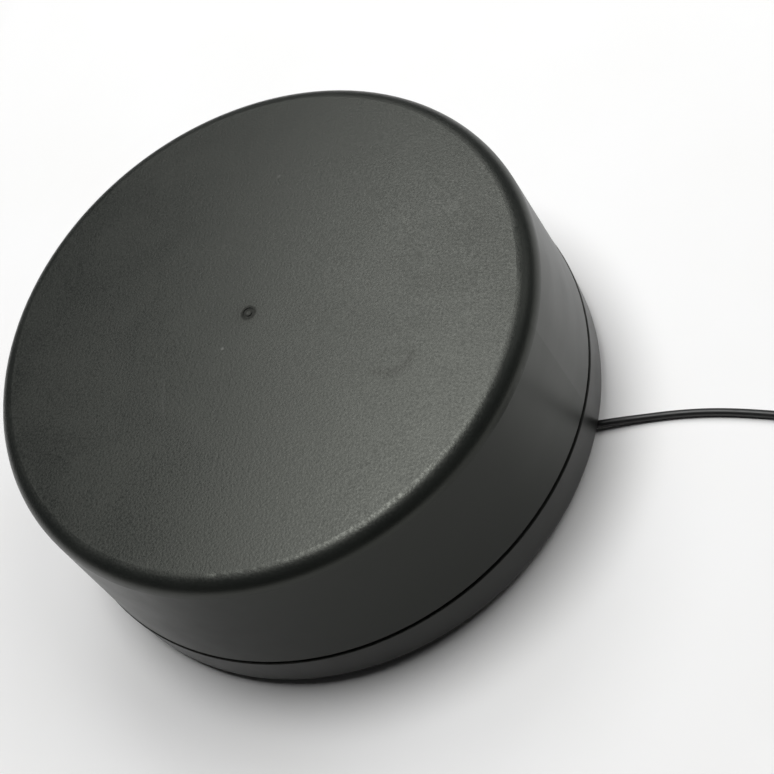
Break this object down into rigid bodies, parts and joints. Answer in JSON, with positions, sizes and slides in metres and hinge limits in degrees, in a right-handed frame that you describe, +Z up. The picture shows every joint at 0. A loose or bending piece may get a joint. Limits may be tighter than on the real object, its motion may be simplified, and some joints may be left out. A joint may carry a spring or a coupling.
{
  "type": "gnss receiver",
  "caption": "Sealed black puck-shaped satellite positioning receiver with a domed cover, a base band with a threaded pole insert underneath, and one thin captive lead ending in a round plug.",
  "frame": {"origin": "centre of the footprint, on the surface that the four feet stand on", "axes": "+Z up along the axis of the puck, +X towards the place where the lead leaves the rim"},
  "size_m": [0.2686, 0.1845, 0.0643],
  "materials": {
    "cover_plastic": "fine moulded grain, black",
    "base_plastic": "satin black",
    "rubber": "matte black",
    "brass": "turned",
    "steel": "satin",
    "can_steel": "tinned",
    "board": "green solder mask",
    "chips": "moulded black",
    "element": "filled white laminate",
    "copper": "copper plate",
    "header": "natural nylon",
    "wires": "insulated wires",
    "lead": "black jacket",
    "tie": "black nylon",
    "plug_plastic": "overmould",
    "plug_metal": "nickel plated"
  },
  "bodies": {
    "receiver": {"radome": "cover_plastic", "base_housing": "base_plastic", "seal_ring": "rubber", "rubber_feet": "rubber", "pole_insert": "brass", "housing_screws": "steel", "vent_plug": "base_plastic", "receiver_board": "board", "receiver_module": "can_steel", "board_components": "chips", "backup_cell": "steel", "cable_header": "header", "lead_plug": "header", "lead_wires": "wires", "inner_lead": "lead", "cable_gland": "rubber", "cable_clamp": "steel", "clamp_screws": "steel", "lower_standoffs": "brass", "upper_standoffs": "brass", "ground_plane_board": "board", "lna_shield_can": "can_steel", "lower_antenna_element": "element", "lower_patch_plate": "copper", "upper_antenna_element": "element", "upper_patch_plate": "copper", "feed_pins": "brass", "centre_bolt": "steel", "centre_nut": "steel", "board_screws": "steel", "jumper_coax": "lead", "jumper_plugs": "brass", "cable_tube": "lead", "cable_coil": "lead", "cable_tie": "tie", "cable_tail": "lead", "plug_strain_relief": "plug_plastic", "plug_body": "plug_plastic", "plug_insert": "plug_plastic", "plug_contacts": "brass", "plug_seal": "rubber"},
    "coupling_nut": {"plug_nut": "plug_metal"}
  },
  "joints": [
    {"name": "coupling_nut_spin", "type": "hinge", "parent": "receiver", "child": "coupling_nut", "pos_m": [0.159, -0.09253, 0.005], "axis": [-0.342, -0.9397, 0], "continuous": true}
  ]
}
